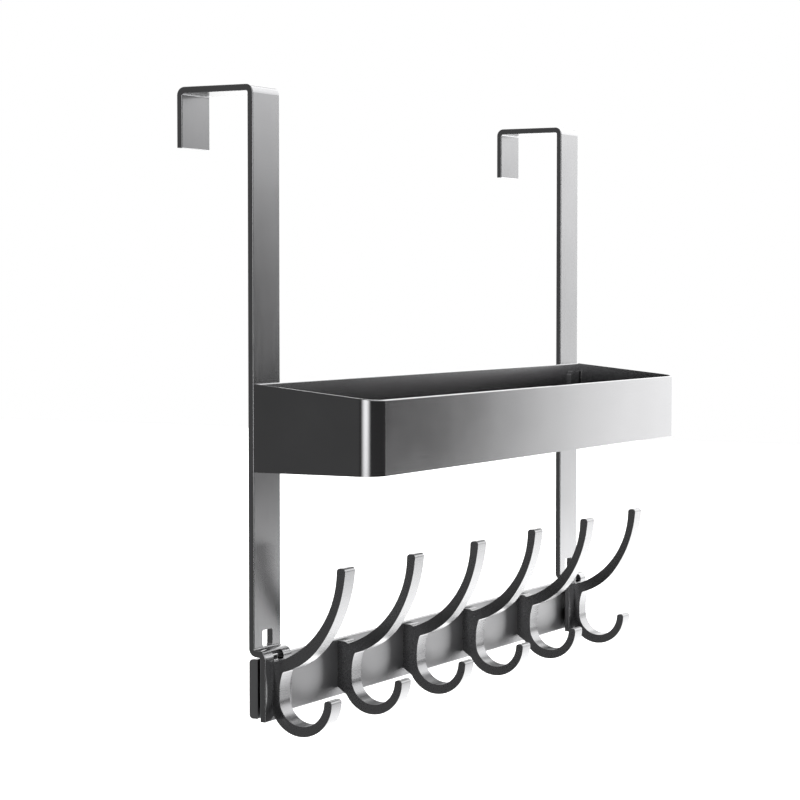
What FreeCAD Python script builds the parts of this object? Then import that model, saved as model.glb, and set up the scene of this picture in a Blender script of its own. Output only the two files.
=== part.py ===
import FreeCAD, Part
import math
import os
import re
import Sketcher

# Over door hook: two bent metal straps hang over the top edge of a door. They carry an
# open basket at half height and a flat rail with six double hooks at the bottom.
#
# Frame, in millimetres: X runs along the rail, +Y goes into the door, +Z is up.
# The origin is on the top front edge of the door, halfway between the two straps, so
# the straps' backs lie in Y = 0 and the underside of their webs in Z = 0.

os.makedirs("parts", exist_ok=True)
doc = FreeCAD.newDocument("over_door_hook")

SIZES = {
    # Straps
    "strap_width": 25.0,
    "strap_thickness": 3.2,
    "strap_pitch": 360.0,
    "strap_edge": 0.4,
    "door_gap": 38.0,
    "flap_drop": 27.0,
    "bend_inside": 1.0,
    "slot_width": 9.5,
    "slot_above": 13.5,
    "slot_end": 5.3,
    "notch_above": 3.4,
    "notch_below": 1.2,
    "slot_corner": 1.0,
    "plate_offset": 6.5,
    "plate_overhang": 1.4,
    "shelf_clearance": 1.0,
    # Rail
    "rail_top_drop": 279.5,
    "rail_height": 29.6,
    "rail_thickness": 4.8,
    "rail_length": 384.0,
    "rail_back_round": 2.0,
    "rail_edge": 0.4,
    # Basket, folded from one sheet
    "basket_top_drop": 143.5,
    "basket_back_height": 43.6,
    "basket_front_height": 36.7,
    "basket_depth": 68.3,
    "basket_corner": 10.0,
    "wall": 1.5,
    "rim_round": 0.5,
    "tab_width": 14.0,
    "tab_drop": 5.0,
    "tab_corner": 2.0,
    "fold_inside": 1.0,
    # Hooks: circle centres are measured from the rail's front face and bottom edge
    "hook_pitch": 72.0,
    "hook_width": 10.0,
    "hook_edge": 0.4,
    "prong_top": 76.4,
    "prong_tip_round": 1.8,
    "prong_back_radius": 50.0,
    "prong_back_ahead": 9.0,
    "prong_back_up": 75.4,
    "prong_front_radius": 70.2,
    "prong_front_ahead": 24.2,
    "prong_front_up": 79.9,
    "prong_root_radius": 39.0,
    "prong_root_start": 37.0,
    "throat_radius": 26.7,
    "throat_web": 8.4,
    "throat_up": 13.4,
    "throat_round": 1.5,
    "cup_inside_radius": 12.7,
    "cup_inside_up": 9.5,
    "cup_outside_radius": 17.5,
    "cup_outside_reach": 20.6,
    "cup_outside_up": 9.2,
    "cup_tip_up": 10.6,
    "cup_tip_round": 1.6,
    "shoulder_up": 28.7,
    "shoulder_reach": 4.4,
    "shoulder_round": 1.2,
    "dip_reach": 5.8,
    "dip_round": 1.5,
    "foot_up": 4.6,
    "foot_reach": 5.2,
    "foot_round": 4.0,
    # Screws and spacers
    "screw_radius": 2.0,
    "screw_length": 12.3,
    "screw_high": 24.5,
    "screw_low": 7.5,
    "sink_radius": 4.0,
    "sink_depth": 2.0,
    "tip_chamfer": 0.5,
    "socket_radius": 1.4,
    "socket_depth": 1.2,
    "hole_clearance": 0.25,
    "thread_clearance": 0.05,
    "hole_spare": 0.3,
    "spacer_radius": 3.9,
    "button_radius": 3.8,
    "button_height": 2.2,
    "button_round": 1.4,
    "basket_screw_length": 6.0,
    "basket_screw_side": 184.0,
    "basket_screw_upper": 160.0,
    "basket_screw_lower": 176.0,
}
HOOKS = 6

sheet = doc.addObject("Spreadsheet::Sheet", "Sizes")
for row, (alias, number) in enumerate(SIZES.items(), start=1):
    sheet.set("A%d" % row, alias.replace("_", " "))
    sheet.set("B%d" % row, str(number))
    sheet.setAlias("B%d" % row, alias)
doc.recompute()


def bound(text):
    """Turn a formula of size names into one that reads the sheet's cells."""
    return re.sub(r"\b([a-z]\w*)", r"Sizes.\1", text)


def value(text):
    """Work out a formula of size names."""
    return float(sheet.evalExpression(bound(text)))


def bind(item, **formulas):
    """Tie properties of an object to the sheet."""
    for name, text in formulas.items():
        item.setExpression(name, bound(text))


def new_body(name, x="0", y="0", z="0"):
    """Start a body whose place is tied to the sheet."""
    body = doc.addObject("PartDesign::Body", name)
    body.Label = name
    for axis, text in zip("xyz", (x, y, z)):
        body.setExpression("Placement.Base." + axis, bound(text))
    return body


def new_sketch(body, name, plane, offset="0"):
    """Start a sketch on one of the body's own planes, moved along the plane's normal."""
    sketch = body.newObject("Sketcher::SketchObject", name)
    roles = {feature.Role: feature for feature in body.Origin.OriginFeatures}
    sketch.AttachmentSupport = (roles[plane], "")
    sketch.MapMode = "FlatFace"
    sketch.setExpression("AttachmentOffset.Base.z", bound(offset))
    return sketch


def measure(sketch, kind, arguments, text):
    """Add one measured constraint and tie it to the sheet."""
    index = sketch.addConstraint(Sketcher.Constraint(kind, *arguments, value(text)))
    name = "size%d" % index
    sketch.renameConstraint(index, name)
    sketch.setExpression("Constraints." + name, bound(text))


def pin(sketch, item, point, across=None, up=None):
    """Measure a point of a sketch from the sketch's origin."""
    if across is not None:
        measure(sketch, "DistanceX", (-1, 1, item, point), across)
    if up is not None:
        measure(sketch, "DistanceY", (-1, 1, item, point), up)


def join(sketch, first, second, kind="Coincident"):
    """Join two end points, each given as an item and its point number."""
    sketch.addConstraint(Sketcher.Constraint(kind, *first, *second))


def polygon(sketch, corners):
    """Draw a closed polygon whose corners are pairs of formulas."""
    points = [FreeCAD.Vector(value(across), value(up), 0) for across, up in corners]
    ends = points[1:] + points[:1]
    items = [sketch.addGeometry(Part.LineSegment(*pair)) for pair in zip(points, ends)]
    for item, following in zip(items, items[1:] + items[:1]):
        join(sketch, (item, 2), (following, 1))
    for item, (across, up) in zip(items, corners):
        pin(sketch, item, 1, across, up)


def rectangle(sketch, left, right, low, high):
    """Draw an upright rectangle between four formulas."""
    polygon(sketch, [(left, low), (right, low), (right, high), (left, high)])


def circle(sketch, across, up, radius):
    middle = FreeCAD.Vector(value(across), value(up), 0)
    item = sketch.addGeometry(Part.Circle(middle, FreeCAD.Vector(0, 0, 1), value(radius)))
    pin(sketch, item, 3, across, up)
    measure(sketch, "Radius", (item,), radius)


def arc(sketch, radius, start, end, across, up, pinned=True):
    """Draw a counter-clockwise arc between two rough angles in degrees."""
    middle = FreeCAD.Vector(value(across), value(up), 0)
    whole = Part.Circle(middle, FreeCAD.Vector(0, 0, 1), value(radius))
    item = sketch.addGeometry(Part.ArcOfCircle(whole, math.radians(start), math.radians(end)))
    measure(sketch, "Radius", (item,), radius)
    if pinned:
        pin(sketch, item, 3, across, up)
    return item


def pad(body, sketch, name, length, side="One side"):
    feature = body.newObject("PartDesign::Pad", name)
    feature.Profile = sketch
    feature.SideType = side
    bind(feature, Length=length)
    doc.recompute()
    return feature


def pocket(body, sketch, name, length, side="One side", reverse=False):
    """Cut a sketch out of the body and make sure that it cuts."""
    before = body.Shape.Volume
    feature = body.newObject("PartDesign::Pocket", name)
    feature.Profile = sketch
    feature.SideType = side
    feature.Reversed = reverse
    bind(feature, Length=length)
    doc.recompute()
    if body.Shape.Volume > before - 0.01:
        raise RuntimeError(name + " cuts nothing")
    return feature


def edges_along(body, axis, places):
    """Name the body's edges that run along an axis through pairs of its own coordinates."""
    names = []
    for index, edge in enumerate(body.Tip.Shape.Edges, start=1):
        box = edge.BoundBox
        spans = [(box.XMin, box.XMax), (box.YMin, box.YMax), (box.ZMin, box.ZMax)]
        del spans["XYZ".index(axis)]
        if all(high - low < 0.01 for low, high in spans):
            here = [low for low, high in spans]
            if any(math.dist(here, there) < 0.05 for there in places):
                names.append("Edge%d" % index)
    return names


def edges_where(body, test):
    """Name the body's edges whose end points all pass a test."""
    return ["Edge%d" % index for index, edge in enumerate(body.Tip.Shape.Edges, start=1)
            if all(test(vertex.Point) for vertex in edge.Vertexes)]


def fillet(body, name, edges, radius):
    """Round edges of the body's newest feature."""
    feature = body.newObject("PartDesign::Fillet", name)
    feature.Base = (feature.BaseFeature, edges)
    bind(feature, Radius=radius)
    doc.recompute()
    return feature


def repeat(body, name, originals, rows):
    """Repeat features in rows, each given as an axis, a length and a count."""
    roles = {feature.Role: feature for feature in body.Origin.OriginFeatures}
    whole = body.newObject("PartDesign::MultiTransform", name)
    whole.Originals = originals
    steps = []
    for axis, length, count in rows:
        row = body.newObject("PartDesign::LinearPattern", "%s_along_%s" % (name, axis.lower()))
        row.Direction = (roles[axis + "_Axis"], [""])
        bind(row, Length=length)
        row.Occurrences = count
        steps.append(row)
    whole.Transformations = steps
    body.Tip = whole
    doc.recompute()


def numbers(pairs):
    return [tuple(value(text) for text in pair) for pair in pairs]


# Straps: each is one strip, bent over the door, stepped forward over the rail and down
# in front of it. A slot stands above the step, and a notch opens the front of its bend
# over the hook.

RAIL_TOP = "-rail_top_drop"
RAIL_BOTTOM = "-rail_top_drop - rail_height"
SHELF_UNDER = RAIL_TOP + " + shelf_clearance"
SHELF_OVER = SHELF_UNDER + " + strap_thickness"
PLATE_FRONT = "-plate_offset - strap_thickness"
PLATE_END = RAIL_BOTTOM + " - plate_overhang"
FLAP_OUTSIDE = "door_gap + strap_thickness"
SCREW_HEIGHTS = ("screw_low", "screw_high")
BASKET_SCREW_HEIGHTS = ("-basket_screw_lower", "-basket_screw_upper")


def make_strap(name, side):
    """A bent strap; side is '-' for the left one and '' for the right one."""
    body = new_body(name, x=side + "strap_pitch / 2")
    outline = new_sketch(body, name + "_outline", "YZ_Plane")
    polygon(outline, [
        ("-strap_thickness", "strap_thickness"),
        ("-strap_thickness", SHELF_OVER),
        (PLATE_FRONT, SHELF_OVER),
        (PLATE_FRONT, PLATE_END),
        ("-plate_offset", PLATE_END),
        ("-plate_offset", SHELF_UNDER),
        ("0", SHELF_UNDER),
        ("0", "0"),
        ("door_gap", "0"),
        ("door_gap", "-flap_drop"),
        (FLAP_OUTSIDE, "-flap_drop"),
        (FLAP_OUTSIDE, "strap_thickness"),
    ])
    pad(body, outline, name + "_strip", "strap_width", "Symmetric")
    inside = numbers([
        ("0", "0"),
        ("door_gap", "0"),
        ("-plate_offset", SHELF_UNDER),
        ("-strap_thickness", SHELF_OVER),
    ])
    fillet(body, name + "_inside_bends", edges_along(body, "X", inside), "bend_inside")
    outside = numbers([
        ("-strap_thickness", "strap_thickness"),
        (FLAP_OUTSIDE, "strap_thickness"),
        (PLATE_FRONT, SHELF_OVER),
        ("0", SHELF_UNDER),
    ])
    edges = edges_along(body, "X", outside)
    fillet(body, name + "_outside_bends", edges, "bend_inside + strap_thickness")
    half = value("strap_width / 2")
    edges = edges_where(body, lambda point: abs(abs(point.x) - half) < 0.01)
    fillet(body, name + "_soft_edges", edges, "strap_edge")

    sides = ("-slot_width / 2", "slot_width / 2")
    openings = {
        "slot": ("slot_end", "slot_above", "-0.1", "strap_thickness + 0.2"),
        "notch": ("-notch_below", "notch_above", "plate_offset - bend_inside",
                  "strap_thickness + bend_inside + 0.1"),
    }
    for label, (low, high, start, depth) in openings.items():
        ends = (RAIL_TOP + " + " + low, RAIL_TOP + " + " + high)
        opening = new_sketch(body, name + "_" + label + "_outline", "XZ_Plane", start)
        rectangle(opening, *sides, *ends)
        pocket(body, opening, name + "_" + label, depth, reverse=True)
        corners = numbers([(across, up) for across in sides for up in ends])
        edges = edges_along(body, "Y", corners)
        fillet(body, name + "_" + label + "_corners", edges, "slot_corner")

    holes = new_sketch(body, name + "_rail_holes_outline", "XZ_Plane", "plate_offset - 0.1")
    for height in SCREW_HEIGHTS:
        circle(holes, "0", RAIL_BOTTOM + " + " + height, "screw_radius + hole_clearance")
    pocket(body, holes, name + "_rail_holes", "strap_thickness + 0.2", reverse=True)

    threads = new_sketch(body, name + "_basket_threads_outline", "XZ_Plane", "-0.1")
    across = "0 " + (side or "+") + " (basket_screw_side - strap_pitch / 2)"
    for height in BASKET_SCREW_HEIGHTS:
        circle(threads, across, height, "screw_radius + thread_clearance")
    pocket(body, threads, name + "_basket_threads", "strap_thickness + 0.2", reverse=True)
    return body


# Rail: a flat bar with round back edges, sunk from behind for the screws.

def make_rail():
    body = new_body("hook_rail")
    outline = new_sketch(body, "rail_outline", "YZ_Plane")
    rectangle(outline, "-rail_thickness", "0", RAIL_BOTTOM, RAIL_TOP)
    pad(body, outline, "rail_bar", "rail_length", "Symmetric")
    ends = (RAIL_BOTTOM, RAIL_TOP)
    back = numbers([("0", end) for end in ends])
    fillet(body, "rail_back_edges", edges_along(body, "X", back), "rail_back_round")
    front = numbers([("-rail_thickness", end) for end in ends])
    fillet(body, "rail_front_edges", edges_along(body, "X", front), "rail_edge")

    centres = new_sketch(body, "rail_hole_centres", "XZ_Plane")
    for hook in range(HOOKS):
        for height in SCREW_HEIGHTS:
            circle(centres, hook_middle(hook), RAIL_BOTTOM + " + " + height, "screw_radius")
    doc.recompute()
    before = body.Shape.Volume
    hole = body.newObject("PartDesign::Hole", "rail_holes")
    hole.Profile = centres
    hole.Reversed = True
    hole.DepthType = "ThroughAll"
    bind(hole, Diameter="2 * (screw_radius + hole_clearance)")
    hole.HoleCutType = "Countersink"
    hole.HoleCutCustomValues = True
    bind(hole, HoleCutDiameter="2 * sink_radius")
    hole.HoleCutCountersinkAngle = 90
    doc.recompute()
    if body.Shape.Volume > before - 1:
        raise RuntimeError("the rail's holes cut nothing")
    return body


# Hooks: each is a slice of one profile. A long prong curves up and forward, a short cup
# curls below it. The two end hooks are cut back to sit on the straps' plates.

def hook_middle(hook):
    """The place of a hook along the rail."""
    return "(%g) * hook_pitch" % (hook - (HOOKS - 1) / 2)


def hook_profile(sketch):
    """Draw the side view of a hook and return the corners to be rounded."""
    ahead = "-throat_web"
    back = arc(sketch, "prong_back_radius", 180, 253, "prong_back_ahead", "prong_back_up")
    front = arc(sketch, "prong_front_radius", 183, 218, "prong_front_ahead", "prong_front_up")
    root = arc(sketch, "prong_root_radius", 218, 255, "-0.6", "61", pinned=False)
    throat = arc(sketch, "throat_radius", 0, 22, ahead + " - throat_radius", "throat_up")
    inside = arc(sketch, "cup_inside_radius", 175, 360, ahead + " - cup_inside_radius", "cup_inside_up")
    outside = arc(sketch, "cup_outside_radius", 175, 332, "-cup_outside_reach", "cup_outside_up")

    def corner(item, point):
        return sketch.getPoint(item, point)

    def line(start, end):
        return sketch.addGeometry(Part.LineSegment(start, end))

    heel = FreeCAD.Vector(0, value("foot_up"), 0)
    nape = FreeCAD.Vector(0, value("shoulder_up"), 0)
    shoulder = FreeCAD.Vector(value("-shoulder_reach"), value("shoulder_up"), 0)
    spine = line(heel, nape)
    ledge = line(nape, shoulder)
    dip = line(shoulder, corner(back, 2))
    prong_tip = line(corner(back, 1), corner(front, 1))
    web = line(corner(throat, 1), corner(inside, 2))
    cup_tip = line(corner(inside, 1), corner(outside, 1))
    foot = line(corner(outside, 2), heel)

    join(sketch, (spine, 2), (ledge, 1))
    join(sketch, (ledge, 2), (dip, 1))
    join(sketch, (dip, 2), (back, 2))
    join(sketch, (back, 1), (prong_tip, 1))
    join(sketch, (prong_tip, 2), (front, 1))
    join(sketch, (front, 2), (root, 1), "Tangent")
    join(sketch, (root, 2), (throat, 2))
    join(sketch, (throat, 1), (web, 1))
    join(sketch, (web, 2), (inside, 2))
    join(sketch, (inside, 1), (cup_tip, 1))
    join(sketch, (cup_tip, 2), (outside, 1))
    join(sketch, (outside, 2), (foot, 1))
    join(sketch, (foot, 2), (spine, 1))

    pin(sketch, spine, 1, "0", "foot_up")
    pin(sketch, spine, 2, "0", "shoulder_up")
    pin(sketch, ledge, 2, "-shoulder_reach", "shoulder_up")
    pin(sketch, dip, 2, "-dip_reach")
    pin(sketch, prong_tip, 1, up="prong_top")
    pin(sketch, prong_tip, 2, up="prong_top")
    pin(sketch, front, 2, up="prong_root_start")
    pin(sketch, web, 1, up="throat_up")
    pin(sketch, web, 2, up="cup_inside_up")
    pin(sketch, cup_tip, 1, up="cup_tip_up")
    pin(sketch, cup_tip, 2, up="cup_tip_up")
    pin(sketch, foot, 1, "-foot_reach")
    doc.recompute()
    return [
        ("shoulder", [corner(ledge, 2)], "shoulder_round"),
        ("dip", [corner(dip, 2)], "dip_round"),
        ("prong_tip", [corner(prong_tip, 1), corner(prong_tip, 2)], "prong_tip_round"),
        ("throat", [corner(root, 2)], "throat_round"),
        ("cup_tip", [corner(cup_tip, 1), corner(cup_tip, 2)], "cup_tip_round"),
        ("foot", [corner(foot, 1)], "foot_round"),
    ]


def make_hook(hook):
    name = "hook_%d" % (hook + 1)
    at_end = hook in (0, HOOKS - 1)
    body = new_body(name, x=hook_middle(hook), y="-rail_thickness", z=RAIL_BOTTOM)
    profile = new_sketch(body, name + "_profile", "YZ_Plane")
    corners = hook_profile(profile)
    pad(body, profile, name + "_slice", "hook_width", "Symmetric")
    for label, points, radius in corners:
        places = [(point.x, point.y) for point in points]
        fillet(body, name + "_" + label, edges_along(body, "X", places), radius)

    half = value("hook_width / 2")

    sides = edges_where(body, lambda point: abs(abs(point.x) - half) < 0.01)
    back = edges_where(body, lambda point: abs(point.y) < 0.01)
    fillet(body, name + "_soft_edges", [edge for edge in sides if edge not in back], "hook_edge")

    seat = "0"
    if at_end:
        seat = "plate_offset + strap_thickness - rail_thickness"
        waste = new_sketch(body, name + "_waste", "XZ_Plane", "-0.1")
        rectangle(waste, "-hook_width", "hook_width", "-hook_width", "2 * shoulder_up")
        pocket(body, waste, name + "_seat", seat + " + 0.1", reverse=True)
    threads = new_sketch(body, name + "_threads_outline", "XZ_Plane", seat + " - 0.1")
    for height in SCREW_HEIGHTS:
        circle(threads, "0", height, "screw_radius + thread_clearance")
    depth = "screw_length - rail_thickness + hole_spare - (" + seat + ")"
    pocket(body, threads, name + "_threads", depth + " + 0.1", reverse=True)
    return body


# Basket: an open box of thin sheet, higher at the back than at the front. Its sides'
# ends are folded in as tabs behind which it is screwed to the straps.

BASKET_BOTTOM = "-basket_top_drop - basket_back_height"
BASKET_RIGHT = "(strap_pitch + strap_width) / 2"


def make_basket():
    body = new_body("basket", y="-strap_thickness", z=BASKET_BOTTOM)
    outline = new_sketch(body, "basket_outline", "YZ_Plane")
    polygon(outline, [
        ("0", "0"),
        ("0", "basket_back_height"),
        ("-basket_depth", "basket_front_height"),
        ("-basket_depth", "0"),
    ])
    pad(body, outline, "basket_block", "strap_pitch + strap_width", "Symmetric")
    right = value(BASKET_RIGHT)
    front = value("-basket_depth")
    corners = [(-right, front), (right, front)]
    fillet(body, "basket_corners", edges_along(body, "Z", corners), "basket_corner")
    faces = body.Tip.Shape.Faces
    top = max(range(len(faces)), key=lambda index: faces[index].CenterOfMass.z)
    hollow = body.newObject("PartDesign::Thickness", "basket_hollow")
    hollow.Base = (hollow.BaseFeature, ["Face%d" % (top + 1)])
    hollow.Reversed = True
    bind(hollow, Value="wall")
    doc.recompute()

    tabs = new_sketch(body, "tabs_outline", "XZ_Plane", "wall")
    tops = "basket_back_height - tab_drop"
    inner = BASKET_RIGHT + " - wall"
    rectangle(tabs, inner + " - tab_width", inner, "wall", tops)
    rectangle(tabs, "-(" + inner + ")", "-(" + inner + ") + tab_width", "wall", tops)
    pad(body, tabs, "tabs", "wall")
    free = value(inner + " - tab_width")
    height = value(tops)
    corners = [(-free, height), (free, height)]
    fillet(body, "tab_corners", edges_along(body, "Y", corners), "tab_corner")
    corners = numbers([(sign + "(" + inner + ")", "-2 * wall") for sign in ("-", "")])
    fillet(body, "tab_folds", edges_along(body, "Z", corners), "fold_inside")

    slope = value("(basket_back_height - basket_front_height) / basket_depth")
    top = value("basket_back_height")
    rim = edges_where(body, lambda point: abs(point.z - top - slope * point.y) < 0.01)
    fillet(body, "basket_rim", rim, "rim_round")

    holes = new_sketch(body, "basket_holes_outline", "XZ_Plane", "-0.1")
    for side in ("-", ""):
        for height in BASKET_SCREW_HEIGHTS:
            up = height + " - (" + BASKET_BOTTOM + ")"
            circle(holes, side + "basket_screw_side", up, "screw_radius + hole_clearance")
    pocket(body, holes, "basket_holes", "2 * wall + 0.2", reverse=True)
    return body


# Screws and spacers: every group is one body with separate solids.

def turned(name, outline, x, y, z):
    """Turn a half outline round the Y axis, with its corners ahead of the head's face."""
    body = new_body(name, x, y, z)
    body.AllowCompound = True
    sketch = new_sketch(body, name + "_half", "XY_Plane")
    polygon(sketch, outline)
    solid = body.newObject("PartDesign::Revolution", name + "_turned")
    solid.Profile = sketch
    solid.ReferenceAxis = (sketch, ["V_Axis"])
    solid.Angle = 360
    doc.recompute()
    return body, solid


def hexagon(body, name, offset, reverse):
    """Sink a six-sided socket into a screw's head."""
    sketch = new_sketch(body, name + "_socket_outline", "XZ_Plane", offset)
    corners = []
    for index in range(6):
        turn = index * math.pi / 3
        corners.append(("socket_radius * %.4f" % math.cos(turn), "socket_radius * %.4f" % math.sin(turn)))
    polygon(sketch, corners)
    return pocket(body, sketch, name + "_socket", "socket_depth", reverse=reverse)


def make_rail_screws():
    body, screw = turned("rail_screws", [
        ("0", "0"),
        ("sink_radius", "0"),
        ("screw_radius", "-sink_depth"),
        ("screw_radius", "-screw_length + tip_chamfer"),
        ("screw_radius - tip_chamfer", "-screw_length"),
        ("0", "-screw_length"),
    ], hook_middle(0), "0", RAIL_BOTTOM + " + screw_low")
    socket = hexagon(body, "rail_screw", "0", True)
    rows = [("X", "(%d) * hook_pitch" % (HOOKS - 1), HOOKS), ("Z", "screw_high - screw_low", 2)]
    repeat(body, "rail_screw_rows", [screw, socket], rows)
    return body


def make_basket_screws():
    seat = "-strap_thickness - 2 * wall"
    body, screw = turned("basket_screws", [
        ("0", "-button_height"),
        ("button_radius - button_round", "-button_height"),
        ("button_radius", "-button_height + button_round"),
        ("button_radius", "0"),
        ("screw_radius", "0"),
        ("screw_radius", "basket_screw_length - tip_chamfer"),
        ("screw_radius - tip_chamfer", "basket_screw_length"),
        ("0", "basket_screw_length"),
    ], "-basket_screw_side", seat, "-basket_screw_lower")
    socket = hexagon(body, "basket_screw", "button_height", False)
    rows = [("X", "2 * basket_screw_side", 2), ("Z", "basket_screw_lower - basket_screw_upper", 2)]
    repeat(body, "basket_screw_rows", [screw, socket], rows)
    return body


def make_spacers():
    body = new_body("spacer_washers", hook_middle(0), "-rail_thickness", RAIL_BOTTOM + " + screw_low")
    body.AllowCompound = True
    ring = new_sketch(body, "spacer_outline", "XZ_Plane")
    circle(ring, "0", "0", "spacer_radius")
    circle(ring, "0", "0", "screw_radius + hole_clearance")
    solid = pad(body, ring, "spacer", "plate_offset - rail_thickness")
    rows = [("X", "strap_pitch", 2), ("Z", "screw_high - screw_low", 2)]
    repeat(body, "spacer_rows", [solid], rows)
    return body


bodies = [make_strap("left_strap", "-"), make_strap("right_strap", ""), make_basket(), make_rail()]
bodies += [make_hook(hook) for hook in range(HOOKS)]
bodies += [make_rail_screws(), make_spacers(), make_basket_screws()]
doc.recompute()

for item in doc.Objects:
    if {"Invalid", "Error"} & set(item.State):
        raise RuntimeError("%s is not valid: %s" % (item.Name, item.State))
for body in bodies:
    if body.Shape.isNull() or not body.Shape.isValid():
        raise RuntimeError(body.Label + " has no valid shape")
    body.Shape.exportStep("parts/%s.step" % body.Label)
    box = body.Shape.BoundBox
    print("%-16s %2d solids %9.1f mm3  X %.1f..%.1f  Y %.1f..%.1f  Z %.1f..%.1f" % (
        body.Label, len(body.Shape.Solids), body.Shape.Volume,
        box.XMin, box.XMax, box.YMin, box.YMax, box.ZMin, box.ZMax))
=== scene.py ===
# %% [markdown]
# # An over door hook
# Two bent metal straps hang over the top of a door. At half height they carry an open
# basket, and at the bottom a flat rail with six double hooks.
#
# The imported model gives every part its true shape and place, in metres, with X along
# the rail, Y into the door and Z up. The large parts keep that shape and get a finish.
# The hooks and the small hardware repeat, so Geometry Nodes make them here.

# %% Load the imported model
import math
import bpy
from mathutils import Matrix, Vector


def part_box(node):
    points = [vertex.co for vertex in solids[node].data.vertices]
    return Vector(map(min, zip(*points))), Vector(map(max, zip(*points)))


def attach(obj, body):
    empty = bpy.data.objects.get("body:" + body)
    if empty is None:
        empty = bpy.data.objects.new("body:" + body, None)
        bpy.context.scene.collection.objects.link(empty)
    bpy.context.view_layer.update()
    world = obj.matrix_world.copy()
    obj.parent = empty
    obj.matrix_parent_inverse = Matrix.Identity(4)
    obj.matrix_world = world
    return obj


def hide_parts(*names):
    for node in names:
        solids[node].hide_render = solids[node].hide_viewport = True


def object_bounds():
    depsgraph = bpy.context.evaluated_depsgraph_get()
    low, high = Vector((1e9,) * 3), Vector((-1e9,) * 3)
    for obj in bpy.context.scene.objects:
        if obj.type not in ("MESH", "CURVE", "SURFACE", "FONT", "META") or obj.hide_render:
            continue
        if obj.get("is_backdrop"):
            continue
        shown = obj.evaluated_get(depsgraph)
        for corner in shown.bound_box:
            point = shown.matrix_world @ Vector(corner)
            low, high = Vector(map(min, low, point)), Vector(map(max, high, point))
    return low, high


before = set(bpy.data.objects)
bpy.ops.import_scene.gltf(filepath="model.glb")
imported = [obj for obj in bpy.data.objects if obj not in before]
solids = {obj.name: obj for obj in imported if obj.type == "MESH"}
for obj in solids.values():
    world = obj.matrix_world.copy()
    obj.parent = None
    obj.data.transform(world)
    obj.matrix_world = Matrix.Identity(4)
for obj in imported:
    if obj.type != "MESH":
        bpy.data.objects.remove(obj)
cad_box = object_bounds()
print("solids:", ", ".join(sorted(solids)))

# %% [markdown]
# ## Where things sit
# A new piece must stand exactly where its solid stood. The boxes of the solids give
# those places, so nothing is placed by eye.

# %% Read the places of the rail and the hooks
MM = 0.001
HOOKS = 6
rail_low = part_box("hook_rail")[0]
hook_names = ["hook_%d" % (count + 1) for count in range(HOOKS)]
hook_boxes = [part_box(name) for name in hook_names]
hook_width = hook_boxes[0][1].x - hook_boxes[0][0].x
hook_middles = [(low.x + high.x) / 2 for low, high in hook_boxes]
hook_pitch = (hook_middles[-1] - hook_middles[0]) / (HOOKS - 1)
print("hooks are %.1f mm wide and %.1f mm apart" % (hook_width / MM, hook_pitch / MM))

# %% [markdown]
# ## Building node trees in code
# Shaders and Geometry Nodes are both trees of nodes and links. One helper adds a node
# and fills its inputs, each with a number or with a link from another node. The others
# do sums, because most of a tree is sums.

# %% Helpers that every tree here uses
def add_node(tree, kind, inputs=None, **settings):
    """Add a node and fill its inputs, by name or by number."""
    made = tree.nodes.new(kind)
    for name, choice in settings.items():
        setattr(made, name, choice)
    for key, wanted in (inputs or {}).items():
        if isinstance(wanted, bpy.types.NodeSocket):
            tree.links.new(wanted, made.inputs[key])
        else:
            made.inputs[key].default_value = wanted
    return made


def do_math(tree, operation, *values):
    """Return the result of one sum in a tree."""
    inputs = dict(enumerate(values))
    return add_node(tree, "ShaderNodeMath", inputs, operation=operation).outputs[0]


def ramp(tree, value, low, high, at_low, at_high, kind="LINEAR"):
    """Return a value moved from one range to another."""
    return add_node(tree, "ShaderNodeMapRange", {
        "Value": value, "From Min": low, "From Max": high, "To Min": at_low, "To Max": at_high,
    }, interpolation_type=kind).outputs["Result"]


# %% [markdown]
# ## The dark finish
# The real hanger is light metal under a dark grey coat, smooth enough to mirror the
# room softly. On such metal the eye reads reflections more than colour, so the shader is
# metallic with a dark base. Three small things keep it from looking like a computer's:
# fine lines from rolling, slightly duller patches where hands have been, and a grain that
# breaks up the shine. Noise squeezed along one axis makes the lines, broad noise the
# patches and very fine noise the grain. All of them read Object coordinates, so they are
# fixed to the metal and keep their real size.
#
# The patches change the gloss and, very slightly, the tone. The lines change the gloss
# too, and lines and grain together make a bump far finer than a hair.

# %% Sizes of the finish
DARK = 0.13
ALONG_X = (0.03, 1.0, 1.0)
ALONG_Z = (1.0, 1.0, 0.03)
NO_LAY = (1.0, 1.0, 1.0)
LINE_SCALE, LINE_DETAIL = 1500.0, 3.0
PATCH_SCALE, PATCH_DETAIL = 24.0, 4.0
GRAIN_SCALE, GRAIN_DETAIL = 3200.0, 2.0
PATCH_FROM, PATCH_TO = 0.3, 0.7
PATCH_TONES = (0.93, 1.06)
PATCH_GLOSS = (-0.008, 0.01)
LINE_FROM, LINE_TO = 0.25, 0.75
LINE_SHARE, GRAIN_SHARE = 0.6, 0.4
BUMP_REACH = 0.1 * MM
BLUER = 1.02
print("rolling lines are about %.1f mm apart" % (1 / LINE_SCALE / MM))


# %% A coated metal whose lines run one way
def noise(tree, where, scale, detail):
    """Return a cloudy pattern between 0 and 1."""
    return add_node(tree, "ShaderNodeTexNoise", {
        "Vector": where, "Scale": scale, "Detail": detail, "Roughness": 0.55}).outputs[0]


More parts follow.
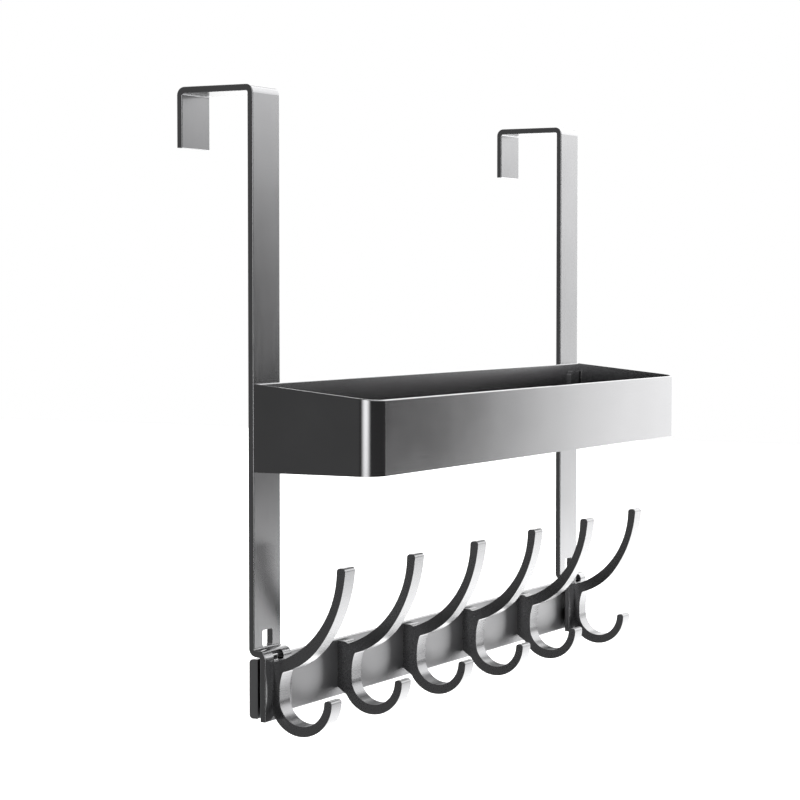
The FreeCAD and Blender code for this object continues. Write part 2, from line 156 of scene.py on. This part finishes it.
def coated_metal(name, roughness, lay, tone=DARK, lining=0.02, depth=0.05):
    """Coated metal; lay squeezes the lines, lining is their gloss and depth the bump."""
    material = bpy.data.materials.new(name)
    material.use_nodes = True
    tree = material.node_tree
    shader = tree.nodes["Principled BSDF"]
    shader.inputs["Metallic"].default_value = 1.0
    place = add_node(tree, "ShaderNodeTexCoord").outputs["Object"]
    squeezed = add_node(tree, "ShaderNodeMapping", {"Vector": place, "Scale": lay}).outputs[0]
    lines = noise(tree, squeezed, LINE_SCALE, LINE_DETAIL)
    patches = noise(tree, place, PATCH_SCALE, PATCH_DETAIL)
    grain = noise(tree, place, GRAIN_SCALE, GRAIN_DETAIL)

    tint = add_node(tree, "ShaderNodeValToRGB", {"Fac": patches})
    stops = zip(tint.color_ramp.elements, (PATCH_FROM, PATCH_TO), PATCH_TONES)
    for stop, where, shade in stops:
        stop.position = where
        stop.color = (tone * shade, tone * shade, tone * shade * BLUER, 1.0)
    tree.links.new(tint.outputs["Color"], shader.inputs["Base Color"])

    glosses = [roughness + change for change in PATCH_GLOSS]
    dull = ramp(tree, patches, PATCH_FROM, PATCH_TO, *glosses)
    streak = ramp(tree, lines, LINE_FROM, LINE_TO, -lining, lining)
    tree.links.new(do_math(tree, "ADD", dull, streak), shader.inputs["Roughness"])

    shares = [do_math(tree, "MULTIPLY", lines, LINE_SHARE),
              do_math(tree, "MULTIPLY", grain, GRAIN_SHARE)]
    bump = add_node(tree, "ShaderNodeBump", {
        "Height": do_math(tree, "ADD", *shares), "Strength": depth, "Distance": BUMP_REACH})
    tree.links.new(bump.outputs[0], shader.inputs["Normal"])
    return material


# %% [markdown]
# ## Straps, basket and rail
# Their solids are already right: bent strip, folded sheet and flat bar, with every bend
# and rounded edge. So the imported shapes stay, and only their material slots change. The
# strip was rolled along its length, so the straps' lines run up and the rail's run
# sideways. The basket is the smoothest, and its lines hardly show. The rail is duller
# than the rest, and the hooks' reflections in it fade within a few millimetres.

# %% Dress the solids that stay
strap_coat = coated_metal("strap_coat", roughness=0.2, lay=ALONG_Z, tone=0.15)
basket_coat = coated_metal("basket_coat", roughness=0.13, lay=ALONG_X, lining=0.008, depth=0.015)
rail_coat = coated_metal("rail_coat", roughness=0.35, lay=ALONG_X, tone=0.165)
kept = {
    "left_strap": strap_coat, "right_strap": strap_coat,
    "basket": basket_coat, "hook_rail": rail_coat,
}
for name, material in kept.items():
    slots = solids[name].data.materials
    slots.clear()
    slots.append(material)
    print(name, "has", material.name)

# %% [markdown]
# ## A duller inside
# A spray gun reaches the inside of a narrow basket only at a slant, so the coat in there
# is duller, and the back wall shows a soft grey instead of a mirror image. A box of
# Object coordinates marks the inner faces of the back wall, the floor and the tabs. At
# the front and the ends the box keeps 3 mm away, because the outer faces of the round
# corners curve in almost that far.

# %% Make the inside of the basket duller
INSIDE_ROUGHNESS = 0.22
INSET_LOW = Vector((3.0, 3.0, 1.0)) * MM
INSET_HIGH = Vector((3.0, 1.0, 0.6)) * MM


def dull_between(material, low, high, roughness):
    """Make a material rougher between two corners."""
    tree = material.node_tree
    place = add_node(tree, "ShaderNodeTexCoord").outputs["Object"]
    parts = add_node(tree, "ShaderNodeSeparateXYZ", {0: place}).outputs
    wanted = roughness
    for part, near, far in zip(parts, low, high):
        within = do_math(tree, "COMPARE", part, (near + far) / 2, (far - near) / 2)
        wanted = do_math(tree, "MULTIPLY", within, wanted)
    target = tree.nodes["Principled BSDF"].inputs["Roughness"]
    smooth = target.links[0].from_socket
    tree.links.new(do_math(tree, "MAXIMUM", smooth, wanted), target)


basket_low, basket_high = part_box("basket")
dull_low, dull_high = basket_low + INSET_LOW, basket_high - INSET_HIGH
dull_between(basket_coat, dull_low, dull_high, INSIDE_ROUGHNESS)
print("the inside is duller from", [round(place / MM, 1) for place in dull_low],
      "to", [round(place / MM, 1) for place in dull_high])

# %% [markdown]
# ## Starting a Geometry Nodes piece
# A piece made by nodes needs three things in code: some points and edges to start from,
# a tree with named inputs for its sizes, and a step that turns the result into a plain
# mesh. That last step matters, because a file of the finished model can't keep a tree.

# %% Draw the line that a tree starts from
def drawn_line(name, points, closed):
    """An object whose mesh is one flat line of points."""
    mesh = bpy.data.meshes.new(name)
    edges = [(count, count + 1) for count in range(len(points) - 1)]
    if closed:
        edges.append((len(points) - 1, 0))
    mesh.from_pydata([(across, up, 0.0) for across, up in points], edges, [])
    drawn = bpy.data.objects.new(name, mesh)
    bpy.context.scene.collection.objects.link(drawn)
    return drawn


# %% Start and end a tree
def new_tree(name, sizes):
    """Start a tree with a geometry input and one named input for each size."""
    tree = bpy.data.node_groups.new(name, "GeometryNodeTree")
    for way in ("INPUT", "OUTPUT"):
        tree.interface.new_socket("Geometry", in_out=way, socket_type="NodeSocketGeometry")
    for size, usual in sizes.items():
        kind = "NodeSocketInt" if isinstance(usual, int) else "NodeSocketFloat"
        socket = tree.interface.new_socket(size, in_out="INPUT", socket_type=kind)
        socket.default_value = usual
    return tree, add_node(tree, "NodeGroupInput").outputs


def finish_tree(tree, geometry, material):
    """Make copies real, shade them, give them their material and end the tree."""
    real = add_node(tree, "GeometryNodeRealizeInstances", {"Geometry": geometry}).outputs[0]
    smooth = add_node(tree, "GeometryNodeSetShadeSmooth", {"Geometry": real}).outputs[0]
    coated = add_node(tree, "GeometryNodeSetMaterial", {
        "Geometry": smooth, "Material": material}).outputs[0]
    add_node(tree, "NodeGroupOutput", {"Geometry": coated})


# %% Run a tree and keep its result
def run_tree(drawn, tree, sizes):
    """Put a tree on an object and set its sizes by the sockets' identifiers."""
    modifier = drawn.modifiers.new(tree.name, "NODES")
    modifier.node_group = tree
    for socket in tree.interface.items_tree:
        if socket.in_out == "INPUT" and socket.name in sizes:
            modifier[socket.identifier] = sizes[socket.name]


def make_plain(drawn, corner=35.0):
    """Turn what the modifiers show into the object's own mesh, sharp past a corner angle."""
    graph = bpy.context.evaluated_depsgraph_get()
    mesh = bpy.data.meshes.new_from_object(drawn.evaluated_get(graph))
    mesh.name = drawn.name
    drawn.modifiers.clear()
    drawn.data = mesh
    if corner:
        mesh.set_sharp_from_angle(angle=math.radians(corner))
    print("%s has %d faces" % (drawn.name, len(mesh.polygons)))


# %% [markdown]
# ## Small steps inside a tree
# The trees below mostly move shapes, turn them and cut one out of another. Each of these
# steps is a node, and a helper for each keeps the trees short enough to read.

# %% Helpers that move and cut
def vector(tree, x=0.0, y=0.0, z=0.0):
    """Return a vector whose parts may be links."""
    return add_node(tree, "ShaderNodeCombineXYZ", {"X": x, "Y": y, "Z": z}).outputs[0]


def moved(tree, geometry, by=(0.0, 0.0, 0.0), turn=(0.0, 0.0, 0.0)):
    """Return a geometry that is turned, in degrees, and then moved."""
    return add_node(tree, "GeometryNodeTransform", {
        "Geometry": geometry, "Translation": by,
        "Rotation": [math.radians(angle) for angle in turn]}).outputs[0]


def cut_away(tree, geometry, *tools):
    """Take the tools' shapes out of a geometry."""
    cut = add_node(tree, "GeometryNodeMeshBoolean", {"Mesh 1": geometry},
                   operation="DIFFERENCE", solver="EXACT")
    for tool in tools:
        tree.links.new(tool, cut.inputs["Mesh 2"])
    return cut.outputs["Mesh"]


# %% [markdown]
# ## The side view of a hook
# Seen from the side, a double hook is a smooth chain of arcs: a long prong that curves
# forward and up, a throat, and a short cup that curls back up. Real hooks like this are
# cut as slices from one long extruded bar, so one outline makes them all.
#
# An arc needs only a centre, a radius and the two angles where it starts and ends. The
# straight runs need no rows of their own, because they join the end of one arc to the
# start of the next. Distances are in millimetres ahead of the rail's face, which count as
# negative, and above its lower edge. A row with no radius is a plain corner.

# %% Arcs of the hook's outline
HOOK_ARCS = [
    ("heel", 0.0, 4.6, 0.0, 0.0, 0.0),
    ("nape", 0.0, 28.7, 0.0, 0.0, 0.0),
    ("shoulder", -3.997, 27.5, 1.2, 90.0, 127.12),
    ("dip", -6.085, 29.306, 1.5, -52.88, -108.12),
    ("prong back", 9.0, 75.4, 50.0, -108.12, -179.12),
    ("prong tip, inner side", -42.794, 74.6, 1.8, 0.88, 90.0),
    ("prong tip, outer side", -43.994, 74.6, 1.8, 90.0, 184.44),
    ("prong front", 24.2, 79.9, 70.2, 184.44, 217.67),
    ("prong root", -0.496, 60.833, 39.0, 217.67, 254.46),
    ("throat corner", -11.346, 21.814, 1.5, 74.45, 19.5),
    ("throat", -35.1, 13.4, 26.7, 19.5, 0.0),
    ("cup inside", -21.1, 9.5, 12.7, 0.0, -178.0),
    ("cup tip, inner side", -35.391, 9.0, 1.6, 2.0, 90.0),
    ("cup tip, outer side", -36.499, 9.0, 1.6, 90.0, 180.72),
    ("cup outside", -20.6, 9.2, 17.5, 180.72, 329.05),
    ("foot", -2.161, -1.858, 4.0, 149.05, 125.52),
]
CHORD_GAP = 0.008
SAME_PLACE = 0.01 * MM


def along_arcs(arcs):
    """Walk along arcs in steps so short that no chord leaves its arc by more than the gap."""
    points = []
    for name, across, up, radius, start, end in arcs:
        step = math.degrees(2 * math.acos(1 - CHORD_GAP / radius)) if radius else 360.0
        steps = math.ceil(abs(end - start) / step)
        for count in range(steps + 1):
            angle = math.radians(start + (end - start) * count / max(steps, 1))
            points.append(((across + radius * math.cos(angle)) * MM,
                           (up + radius * math.sin(angle)) * MM))
    pairs = zip(points, points[-1:] + points)
    return [here for here, before in pairs if math.dist(here, before) > SAME_PLACE]


hooks = drawn_line("hooks", along_arcs(HOOK_ARCS), closed=True)
print("the outline has", len(hooks.data.vertices), "points")

# %% [markdown]
# ## A slice of the bar
# The tree fills the outline and pulls it out to the slice's width. That leaves one side
# open, so a turned-over copy of the fill closes it. The two screw bores will be cut by
# cylinders that point forward from the back, in the middle of the slice's width.

# %% Helpers that make a slice and its drills
WELD = 0.001 * MM


def slice_of_bar(tree, outline, width, half):
    """Fill a closed outline and give it a width, half on each side of it."""
    curve = add_node(tree, "GeometryNodeMeshToCurve", {"Mesh": outline}).outputs[0]
    fill = add_node(tree, "GeometryNodeFillCurve", {"Curve": curve}, mode="NGONS").outputs[0]
    pulled = add_node(tree, "GeometryNodeExtrudeMesh", {
        "Mesh": fill, "Offset Scale": width, "Individual": False}).outputs["Mesh"]
    other_side = add_node(tree, "GeometryNodeFlipFaces", {"Mesh": fill}).outputs[0]
    both = add_node(tree, "GeometryNodeJoinGeometry")
    tree.links.new(pulled, both.inputs[0])
    tree.links.new(other_side, both.inputs[0])
    closed = add_node(tree, "GeometryNodeMergeByDistance", {
        "Geometry": both.outputs[0], "Distance": WELD}).outputs[0]
    return moved(tree, closed, by=vector(tree, z=do_math(tree, "MULTIPLY", half, -1.0)))


def bore_drills(tree, radius, reach, heights):
    """Return one drill for each height, from the back of the slice."""
    drill = add_node(tree, "GeometryNodeMeshCylinder", {
        "Vertices": 32, "Radius": radius,
        "Depth": do_math(tree, "MULTIPLY", reach, 2.0)}).outputs["Mesh"]
    return [moved(tree, drill, by=vector(tree, y=height), turn=(0.0, 90.0, 0.0))
            for height in heights]


# %% [markdown]
# ## Cutting back and repeating the hooks
# The two end hooks sit on the straps, which stand ahead of the rail, so a second variant
# has its back cut away by that much. Then the slices stand up and are repeated along X:
# the inner hooks one pitch apart, the two end ones at the ends of the row.
#
# The cut slices were tumbled until their edges went soft. The tree can't bevel, but it
# can mark the edges of the two cut faces for the Bevel modifier, which reads its weights
# from an attribute of that name. The edges at the back stay sharp, where a hook sits on
# its seat.

# %% The tree that makes the row of hooks
BLOCK_HEIGHT, BLOCK_WIDTH = 0.2, 0.1


def make_hook_tree(material):
    """Build the tree for a row of hooks whose two end ones are cut back."""
    tree, size = new_tree("row_of_hooks", {
        "Hooks": 6, "Width": 0.01, "Pitch": 0.072, "Face": 0.0, "Foot": 0.0, "Seat": 0.005,
        "Bore radius": 0.002, "Bore reach": 0.008, "Lower bore": 0.0075, "Upper bore": 0.0245})
    half = do_math(tree, "MULTIPLY", size["Width"], 0.5)
    bar = slice_of_bar(tree, size["Geometry"], size["Width"], half)
    drills = bore_drills(tree, size["Bore radius"], size["Bore reach"],
                         (size["Lower bore"], size["Upper bore"]))
    block_depth = do_math(tree, "MULTIPLY", size["Seat"], 2.0)
    block = add_node(tree, "GeometryNodeMeshCube", {
        "Size": vector(tree, block_depth, BLOCK_HEIGHT, BLOCK_WIDTH)}).outputs["Mesh"]

    position = add_node(tree, "GeometryNodeInputPosition").outputs[0]
    place = add_node(tree, "ShaderNodeSeparateXYZ", {0: position}).outputs
    cut_face = do_math(tree, "SUBTRACT", half, SAME_PLACE)
    on_cut_face = do_math(tree, "GREATER_THAN", do_math(tree, "ABSOLUTE", place["Z"]), cut_face)
    pitches_in_all = do_math(tree, "SUBTRACT", size["Hooks"], 1.0)
    inner_hooks = do_math(tree, "SUBTRACT", size["Hooks"], 2.0)
    to_first = do_math(tree, "MULTIPLY", pitches_in_all, -0.5)
    row_start = do_math(tree, "MULTIPLY", size["Pitch"], to_first)
    row = add_node(tree, "GeometryNodeJoinGeometry")
    variants = [
        {"cut back": 0.0, "tools": drills, "count": inner_hooks, "skipped": 1.0, "apart": 1.0},
        {"cut back": size["Seat"], "tools": drills + [block], "count": 2, "skipped": 0.0,
         "apart": pitches_in_all},
    ]
    for variant in variants:
        back = do_math(tree, "MULTIPLY", variant["cut back"], -1.0)
        back = do_math(tree, "SUBTRACT", back, SAME_PLACE)
        ahead_of_back = do_math(tree, "LESS_THAN", place["X"], back)
        marked = add_node(tree, "GeometryNodeStoreNamedAttribute", {
            "Geometry": cut_away(tree, bar, *variant["tools"]), "Name": "bevel_weight_edge",
            "Value": do_math(tree, "MULTIPLY", on_cut_face, ahead_of_back),
        }, domain="EDGE", data_type="FLOAT").outputs[0]
        upright = moved(tree, marked, turn=(90.0, 0.0, 90.0))
        skipped = do_math(tree, "MULTIPLY", size["Pitch"], variant["skipped"])
        start = vector(tree, do_math(tree, "ADD", row_start, skipped), size["Face"], size["Foot"])
        apart = vector(tree, do_math(tree, "MULTIPLY", size["Pitch"], variant["apart"]))
        places = add_node(tree, "GeometryNodeMeshLine", {
            "Count": variant["count"], "Start Location": start, "Offset": apart,
        }, mode="OFFSET").outputs[0]
        copies = add_node(tree, "GeometryNodeInstanceOnPoints", {
            "Points": places, "Instance": upright}).outputs[0]
        tree.links.new(copies, row.inputs[0])
    finish_tree(tree, row.outputs[0], material)
    return tree


# %% [markdown]
# ## The hooks
# The Bevel modifier rounds only the marked edges. A Weighted Normal modifier after it
# keeps the broad flat sides looking flat beside their narrow rounded edges.

# %% Make the hooks
END_SEAT = 4.9 * MM
BORE_RADIUS, BORE_REACH = 2.05 * MM, 7.8 * MM
SOFT_EDGE, SOFT_STEPS = 0.6 * MM, 3

hook_coat = coated_metal("hook_coat", roughness=0.28, lay=ALONG_X, tone=0.133)
run_tree(hooks, make_hook_tree(hook_coat), {
    "Hooks": HOOKS, "Width": hook_width, "Pitch": hook_pitch,
    "Face": rail_low.y, "Foot": rail_low.z, "Seat": END_SEAT,
    "Bore radius": BORE_RADIUS, "Bore reach": BORE_REACH})
soften = hooks.modifiers.new("soft_edges", "BEVEL")
soften.limit_method = "WEIGHT"
soften.width = SOFT_EDGE
soften.segments = SOFT_STEPS
flatten = hooks.modifiers.new("flat_sides", "WEIGHTED_NORMAL")
flatten.keep_sharp = True
make_plain(hooks, corner=None)
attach(hooks, "root")
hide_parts(*hook_names)

# %% [markdown]
# ## Screws and spacers
# Every screw and spacer is a turned part: half an outline, spun round an axis, with a
# hexagon socket or a bore sunk into one end. So one recipe makes them all. It sweeps the
# half outline round a small circle, welds the ends on the axis, cuts the socket with a
# prism, and sets the copies out on a grid with two rows.
#
# An outline runs from its end nearest the room to its end nearest the door. In that
# order the faces of the swept mesh point outwards.

# %% The tree that makes turned parts
AXIS_CIRCLE = 1.0 * MM
AXIS_WELD = 0.002 * MM
ROUND_STEPS = 48


def turned_body(tree, outline):
    """Spin half an outline round the Z axis."""
    half = add_node(tree, "GeometryNodeMeshToCurve", {"Mesh": outline}).outputs[0]
    half = moved(tree, half, by=(-AXIS_CIRCLE, 0.0, 0.0))
    axis = add_node(tree, "GeometryNodeCurvePrimitiveCircle", {
        "Resolution": ROUND_STEPS, "Radius": AXIS_CIRCLE}).outputs["Curve"]
    swept = add_node(tree, "GeometryNodeCurveToMesh", {
        "Curve": axis, "Profile Curve": half}).outputs[0]
    return add_node(tree, "GeometryNodeMergeByDistance", {
        "Geometry": swept, "Distance": AXIS_WELD}).outputs[0]


def make_turned_tree(name, material):
    """Build the tree for a grid of turned parts, each with a socket."""
    tree, size = new_tree(name, {
        "Columns": 2, "Rows": 2, "Across": 0.1, "Up": 0.017,
        "Middle X": 0.0, "Seat Y": 0.0, "Middle Z": 0.0, "Socket sides": 6,
        "Socket radius": 0.001, "Socket from": 0.0, "Socket to": 0.001})
    ends = size["Socket from"], size["Socket to"]
    body = turned_body(tree, size["Geometry"])
    prism = add_node(tree, "GeometryNodeMeshCylinder", {
        "Vertices": size["Socket sides"], "Radius": size["Socket radius"],
        "Depth": do_math(tree, "SUBTRACT", ends[1], ends[0])}).outputs["Mesh"]
    depth = do_math(tree, "MULTIPLY", do_math(tree, "ADD", *ends), -0.5)
    cut = cut_away(tree, body, moved(tree, prism, by=vector(tree, z=depth)))
    grid = add_node(tree, "GeometryNodeMeshGrid", {
        "Size X": size["Across"], "Size Y": size["Up"],
        "Vertices X": size["Columns"], "Vertices Y": size["Rows"]}).outputs["Mesh"]
    copies = add_node(tree, "GeometryNodeInstanceOnPoints", {
        "Points": grid, "Instance": cut}).outputs[0]
    real = add_node(tree, "GeometryNodeRealizeInstances", {"Geometry": copies}).outputs[0]
    middle = vector(tree, size["Middle X"], size["Seat Y"], size["Middle Z"])
    finish_tree(tree, moved(tree, real, by=middle, turn=(90.0, 0.0, 0.0)), material)
    return tree


# %% [markdown]
# ## Placing the hardware
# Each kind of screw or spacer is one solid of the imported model, so the box of that solid
# says how far apart the outermost copies stand. Outlines and sockets are in millimetres,
# and zero along an outline is the plane that the part sits on.

# %% A grid of turned parts in the place of a solid
def turned_parts(name, node, outline, seat_y, columns, socket, material):
    """Make turned parts; socket is (sides, radius, start, end), along the axis."""
    low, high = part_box(node)
    widest = 2 * max(radius for radius, along in outline) * MM
    points = [(radius * MM, along * MM) for radius, along in outline]
    line = drawn_line(name, points, closed=False)
    sides, radius, start, end = socket
    run_tree(line, make_turned_tree(name + "_tree", material), {
        "Columns": columns, "Rows": 2,
        "Across": high.x - low.x - widest, "Up": high.z - low.z - widest,
        "Middle X": (low.x + high.x) / 2, "Seat Y": seat_y, "Middle Z": (low.z + high.z) / 2,
        "Socket sides": sides, "Socket radius": radius * MM,
        "Socket from": start * MM, "Socket to": end * MM})
    make_plain(line)
    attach(line, "root")
    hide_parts(node)


# %% [markdown]
# ## The hardware's own finish
# Screws for dark fittings are steel, blackened in a hot bath. They are darker than the
# coated metal, with a coarser grain. The same recipe does it with a darker tone, a deeper
# bump and no lay.

# %% Make the rail's screws
screw_black = coated_metal("screw_black", roughness=0.32, lay=NO_LAY, tone=0.09, depth=0.15)
rail_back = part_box("rail_screws")[1].y
turned_parts("rail_screw_set", "rail_screws", [
    (0.0, -12.3), (1.5, -12.3), (2.0, -11.8), (2.0, -2.0), (3.9, -0.1), (4.0, 0.0), (0.0, 0.0),
], rail_back, HOOKS, (6, 1.4, -1.2, 1.0), screw_black)

# %% Make the basket's screws
HEAD_RADIUS, HEAD_HEIGHT, HEAD_SIDE, HEAD_ROUND = 3.8, 2.2, 0.8, 1.4
DOME_STEPS = 8
tab_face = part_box("basket_screws")[0].y + HEAD_HEIGHT * MM
turns = [math.radians(90.0 * (1 - step / DOME_STEPS)) for step in range(DOME_STEPS + 1)]
dome = [(HEAD_RADIUS - HEAD_ROUND * (1 - math.cos(turn)),
         -HEAD_SIDE - HEAD_ROUND * math.sin(turn)) for turn in turns]
turned_parts("basket_screw_set", "basket_screws", [
    (0.0, -HEAD_HEIGHT), *dome, (HEAD_RADIUS, 0.0), (2.0, 0.0), (2.0, 5.5), (1.5, 6.0), (0.0, 6.0),
], tab_face, 2, (6, 1.4, -3.2, -1.0), screw_black)

# %% Make the spacers
turned_parts("spacer_set", "spacer_washers", [
    (0.0, -1.7), (3.8, -1.7), (3.9, -1.6), (3.9, -0.1), (3.8, 0.0), (0.0, 0.0),
], rail_low.y, 2, (ROUND_STEPS, 2.25, -2.7, 1.0), screw_black)

# %% [markdown]
# ## The camera
# The photograph was taken from the left, 61.5 degrees round from straight ahead and a
# little above the middle, with a long lens that keeps the straps almost parallel.

# %% Set up the camera
CAMERA_TURN, CAMERA_RISE, CAMERA_AWAY = -61.5, 2.63, 1316.8 * MM
look_at = Vector((-36.0, 0.0, -157.8)) * MM
turn, rise = math.radians(CAMERA_TURN), math.radians(CAMERA_RISE)
line_of_sight = Vector((
    math.sin(turn) * math.cos(rise), -math.cos(turn) * math.cos(rise), math.sin(rise)))
lens = bpy.data.cameras.new("product_camera")
lens.lens = 108.0
lens.sensor_width = 36.0
camera = bpy.data.objects.new("product_camera", lens)
camera.location = look_at + line_of_sight * CAMERA_AWAY
camera.rotation_euler = line_of_sight.to_track_quat("Z", "Y").to_euler()
bpy.context.scene.collection.objects.link(camera)
bpy.context.scene.camera = camera
print("camera at", [round(place, 3) for place in camera.location])

# %% [markdown]
# ## A soft panel of light
# Dark shiny metal shows the lights themselves, so they have to be drawn with care. Here
# they are soft panels painted on the sky, each placed by the direction it shines from.
# One node group draws a panel: it turns a direction into two angles, and fades out where
# an angle leaves the panel.

# %% A node group that draws one soft panel
PANEL_SIZES = ("Azimuth", "Half width", "Side fade",
               "Elevation", "Half height", "Top fade", "Strength")


def make_panel_group():
    """Build the group; azimuth goes from X round to the front, elevation up."""
    group = bpy.data.node_groups.new("soft_panel", "ShaderNodeTree")
    group.interface.new_socket("Direction", in_out="INPUT", socket_type="NodeSocketVector")
    for name in PANEL_SIZES:
        group.interface.new_socket(name, in_out="INPUT", socket_type="NodeSocketFloat")
    group.interface.new_socket("Light", in_out="OUTPUT", socket_type="NodeSocketFloat")
    given = add_node(group, "NodeGroupInput").outputs
    x, y, z = add_node(group, "ShaderNodeSeparateXYZ", {0: given["Direction"]}).outputs

    def fade(angle, middle, half, blur):
        """Return 1 on the panel and 0 past its soft edge."""
        apart = do_math(group, "SUBTRACT", angle, given[middle])
        away = do_math(group, "ABSOLUTE", do_math(group, "WRAP", apart, 180.0, -180.0))
        outside = do_math(group, "ADD", given[half], given[blur])
        return ramp(group, away, given[half], outside, 1.0, 0.0, "SMOOTHSTEP")

    forward = do_math(group, "MULTIPLY", y, -1.0)
    azimuth = do_math(group, "DEGREES", do_math(group, "ARCTAN2", forward, x))
    elevation = do_math(group, "DEGREES", do_math(group, "ARCSINE", z))
    inside = do_math(group, "MULTIPLY", fade(azimuth, "Azimuth", "Half width", "Side fade"),
                     fade(elevation, "Elevation", "Half height", "Top fade"))
    light = do_math(group, "MULTIPLY", inside, given["Strength"])
    add_node(group, "NodeGroupOutput", {"Light": light})
    return group


# %% [markdown]
# ## The studio
# Each row below holds the panel's sizes in the order of the group's inputs: its middle,
# half its width and its soft edge, the same three for its height, all in degrees, and
# how strongly it shines. Where panels overlap, the brighter one counts, and elsewhere the
# room has a dim light of its own.
#
# The big panel on the right makes the front faces shine. Its left edge falls across the
# basket and turns its front from white to grey. The lower and the edge panels give the
# curved fronts of the hooks their light and dark bands. A narrow panel on the left draws
# the bright line down the basket's rounded corner, and the dark room between the two
# gives the corner its shape. The two front panels are for views from straight ahead. The
# ones at the back and overhead light the rims, the top bends and the side that faces the
# door.

# %% Hang the panels
ROOM = 0.15
PANELS = {
    "right": (9, 14.2, 4.8, 0, 60, 20, 4.2),
    "far right": (-8, 6, 14, 0, 60, 20, 1.8),
    "lower right": (-6, 25, 8, -40, 24, 18, 4.2),
    "upper right edge": (26, 6, 7, 27.5, 20, 8.5, 4.8),
    "lower right edge": (20, 7, 8.5, -20.2, 14, 1.3, 5.2),
    "upper front": (85, 40, 20, 45, 28, 14, 2.0),
    "lower front": (85, 40, 20, -44, 28, 9, 1.6),
    "left": (158.5, 2, 29, 15, 19, 4, 7.2),
    "back right": (-40, 20, 14, 18, 14, 5, 2.4),
    "left back": (-150, 12, 12, 0, 60, 30, 0.32),
    "back": (-88, 30, 20, 0, 60, 30, 1.2),
    "overhead": (0, 180, 0, 90, 35, 20, 1.4),
}
world = bpy.data.worlds.new("studio")
bpy.context.scene.world = world
world.use_nodes = True
sky = world.node_tree
sky.nodes.clear()
direction = add_node(sky, "ShaderNodeTexCoord").outputs["Generated"]
panel_group = make_panel_group()
light = ROOM
for name, sizes in PANELS.items():
    panel = add_node(sky, "ShaderNodeGroup", node_tree=panel_group, label=name)
    sky.links.new(direction, panel.inputs["Direction"])
    for socket, size in zip(panel.inputs[1:], sizes):
        socket.default_value = size
    light = do_math(sky, "MAXIMUM", light, panel.outputs["Light"])
print("the studio has", len(PANELS), "soft panels")

# %% [markdown]
# ## The backdrop
# The panels must show in the metal and not behind it. So the sky uses them for every ray
# but the camera's own, which sees plain white.

# %% Keep the panels out of the picture
WHITE = (1.0, 1.0, 1.0, 1.0)
studio = add_node(sky, "ShaderNodeBackground", {"Color": WHITE, "Strength": light})
backdrop = add_node(sky, "ShaderNodeBackground", {"Color": WHITE, "Strength": 1.0})
seen = add_node(sky, "ShaderNodeLightPath").outputs["Is Camera Ray"]
choice = add_node(sky, "ShaderNodeMixShader", {
    0: seen, 1: studio.outputs[0], 2: backdrop.outputs[0]})
add_node(sky, "ShaderNodeOutputWorld", {"Surface": choice.outputs[0]})
bpy.context.scene.view_settings.view_transform = "Standard"
print("the sky has", len(sky.nodes), "nodes")

# %% [markdown]
# ## The floor
# The hanger floats, as in a product picture, over a plain pale floor. The floor glows a
# little, so it fades into the backdrop, and it is left out of the metal's reflections,
# where its brightness would wash out the dark undersides.

# %% Lay the floor
FLOOR_HALF, FLOOR_DROP = 4.0, -0.45
FLOOR_PAINT = {"Base Color": (0.9, 0.9, 0.9, 1.0), "Roughness": 0.9,
               "Emission Color": WHITE, "Emission Strength": 0.4}
floor_mesh = bpy.data.meshes.new("floor")
floor_mesh.from_pydata([(x * FLOOR_HALF, y * FLOOR_HALF, FLOOR_DROP) for x, y in (
    (-1, -1), (1, -1), (1, 1), (-1, 1))], [], [(0, 1, 2, 3)])
floor = bpy.data.objects.new("floor", floor_mesh)
bpy.context.scene.collection.objects.link(floor)
pale = bpy.data.materials.new("pale_floor")
pale.use_nodes = True
for name, wanted in FLOOR_PAINT.items():
    pale.node_tree.nodes["Principled BSDF"].inputs[name].default_value = wanted
floor_mesh.materials.append(pale)
floor.visible_glossy = False
floor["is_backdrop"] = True
print("the floor lies %.0f mm below the top of the door" % (-FLOOR_DROP / MM))

# %% [markdown]
# ## Compare the sizes
# The dressed part must fill the same box as the imported one. The script prints how far
# each corner of the box has moved.

# %% Print how far the corners of the box moved
visual_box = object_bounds()
for before, after in zip(cad_box, visual_box):
    print("corner moved by", [round((b - a) / MM, 3) for a, b in zip(before, after)], "mm")
